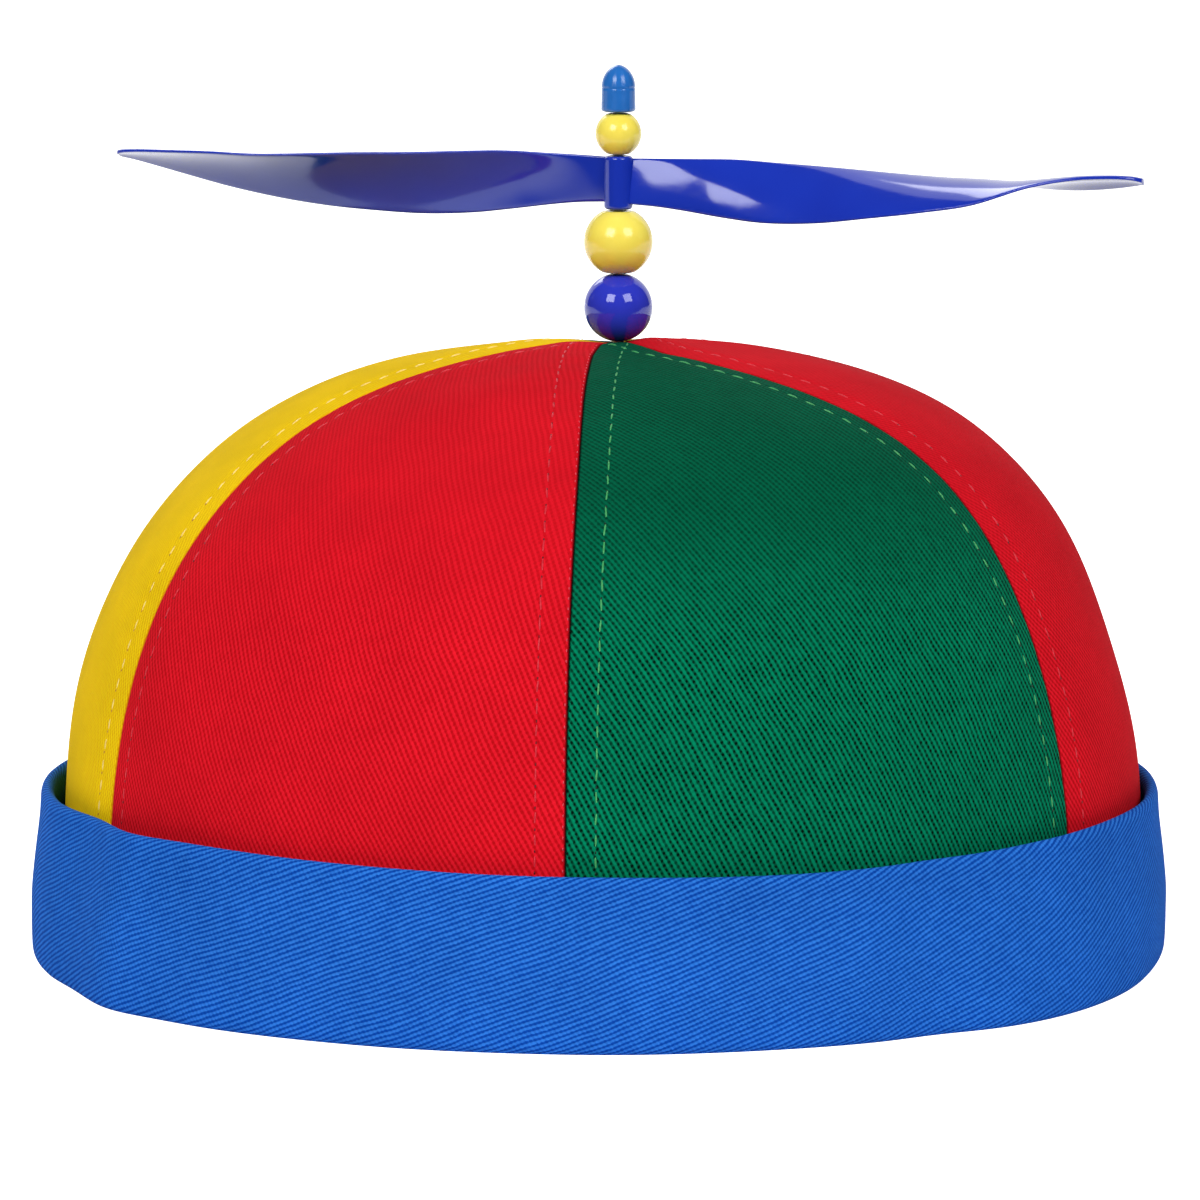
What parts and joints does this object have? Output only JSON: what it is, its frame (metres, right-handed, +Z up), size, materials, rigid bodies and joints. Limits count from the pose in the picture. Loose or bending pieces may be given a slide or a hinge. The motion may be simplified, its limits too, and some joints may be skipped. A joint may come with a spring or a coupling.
{
  "type": "propeller beanie",
  "caption": "Panelled cloth beanie in red, green and yellow with a turned-up blue cuff, topped by a stack of beads that carries a freely spinning propeller.",
  "frame": {"origin": "centre of the cuff's flat underside, on the surface that the beanie rests on", "axes": "+Z up along the propeller's axis, -Y towards the front, +X to the right as seen from the front"},
  "size_m": [0.1991, 0.1954, 0.1545],
  "materials": {
    "red_twill": "matte cotton twill",
    "green_twill": "matte cotton twill",
    "yellow_twill": "matte cotton twill",
    "blue_twill": "matte cotton twill",
    "blue_bead": "glossy",
    "yellow_bead": "satin gloss",
    "blue_propeller": "glossy",
    "blue_tip": "glossy",
    "steel_post": "plain"
  },
  "bodies": {
    "cap": {"panel_yellow_left": "yellow_twill", "panel_red_front": "red_twill", "panel_green_front": "green_twill", "panel_red_right": "red_twill", "panel_yellow_back": "yellow_twill", "panel_green_back": "green_twill", "cuff": "blue_twill", "post": "steel_post", "base_bead": "blue_bead", "spacer_bead": "yellow_bead", "top_bead": "yellow_bead", "tip_cap": "blue_tip"},
    "propeller": {"propeller": "blue_propeller"}
  },
  "joints": [
    {"name": "propeller_spin", "type": "hinge", "parent": "cap", "child": "propeller", "pos_m": [0.0032, 0, 0.1341], "axis": [0, 0, 1], "continuous": true}
  ]
}
